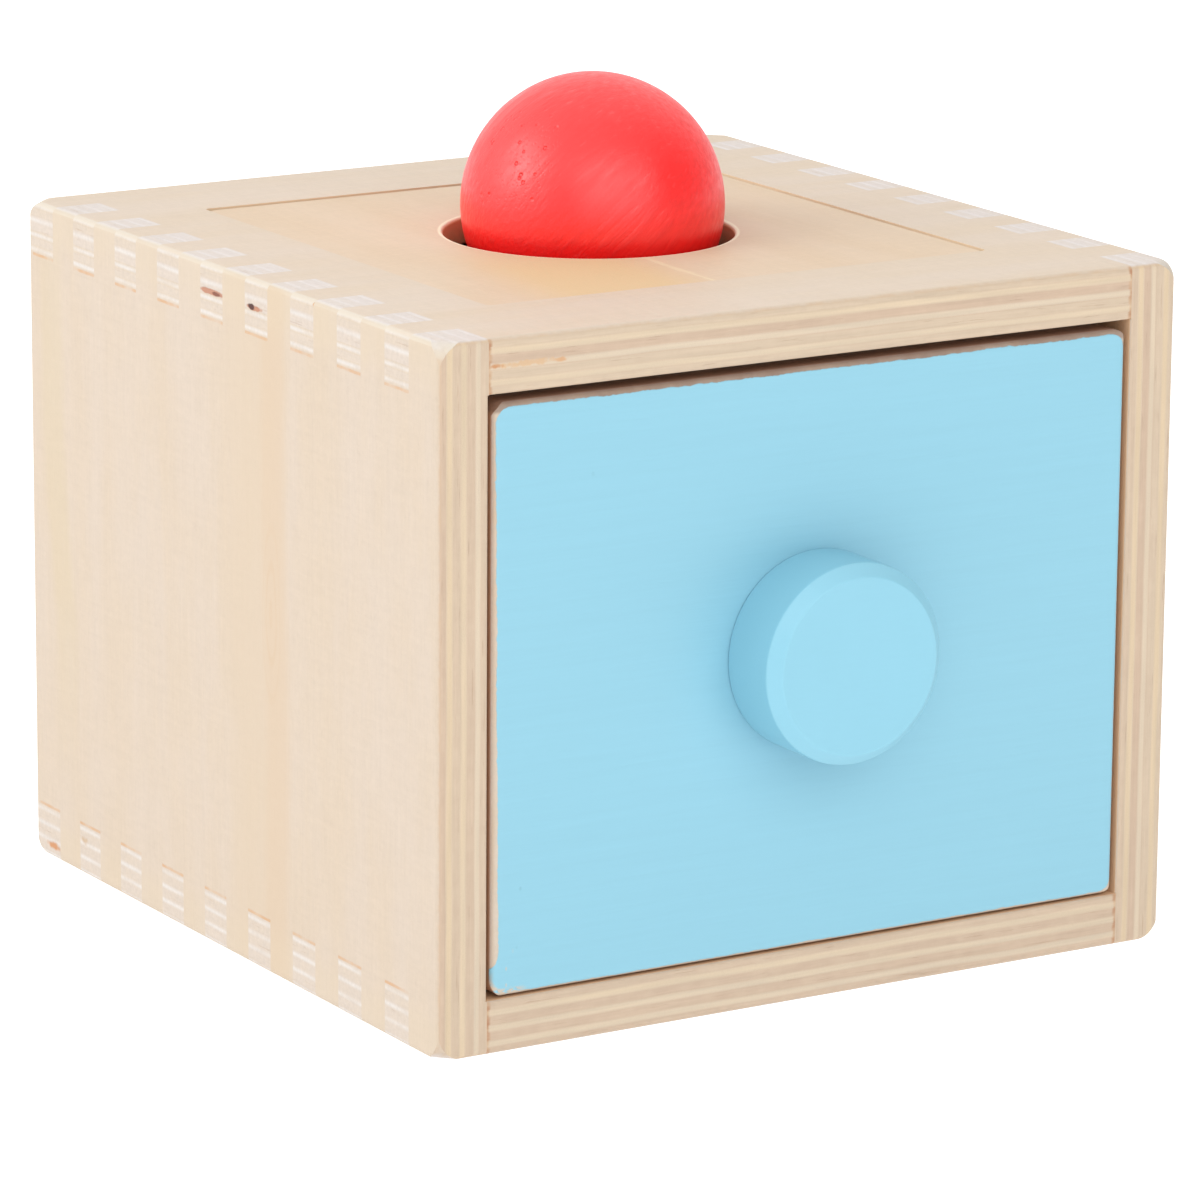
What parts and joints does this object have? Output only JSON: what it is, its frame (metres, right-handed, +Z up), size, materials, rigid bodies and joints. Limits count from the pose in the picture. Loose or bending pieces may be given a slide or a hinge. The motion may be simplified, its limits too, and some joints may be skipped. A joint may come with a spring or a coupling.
{
  "type": "ball drop box with drawer",
  "caption": "Finger-jointed plywood box with a lift-out hole plate on top, a loose wooden ball that drops through it, and a drawer with a round knob that catches the ball.",
  "frame": {"origin": "centre of the case's base, on the surface that the box stands on", "axes": "+Z up, +Y towards the back of the case, +X to the right as seen from the drawer side"},
  "size_m": [0.141, 0.1565, 0.1435],
  "materials": {
    "case_plywood": "pale plywood, sanded, thin clear satin coat",
    "thin_plywood": "pale thin plywood, sanded",
    "plate_plywood": "pale plywood, slightly warmer, thin clear satin coat",
    "red_painted_wood": "red stain paint with faint grain, satin",
    "blue_painted_wood": "light blue paint, satin",
    "steel": "zinc-plated steel"
  },
  "bodies": {
    "case": {"left_side_panel": "case_plywood", "right_side_panel": "case_plywood", "top_panel": "case_plywood", "bottom_panel": "case_plywood", "back_panel": "thin_plywood", "back_panel_brads": "steel"},
    "hole_plate": {"hole_plate": "plate_plywood"},
    "ball": {"ball": "red_painted_wood"},
    "drawer": {"drawer_front": "blue_painted_wood", "drawer_left_side": "thin_plywood", "drawer_right_side": "thin_plywood", "drawer_back": "thin_plywood", "drawer_bottom": "thin_plywood", "drawer_brads": "steel", "knob": "blue_painted_wood", "knob_screw": "steel"}
  },
  "joints": [
    {"name": "drawer_slide", "type": "slide", "parent": "case", "child": "drawer", "axis": [0, -1, 0], "range_m": [0, 0.1]},
    {"name": "hole_plate_lift", "type": "slide", "parent": "case", "child": "hole_plate", "axis": [0, 0, 1], "range_m": [0, 0.05]},
    {"name": "ball_drop", "type": "slide", "parent": "case", "child": "ball", "axis": [0, 0, -1], "range_m": [-0.03, 0.0818]}
  ]
}
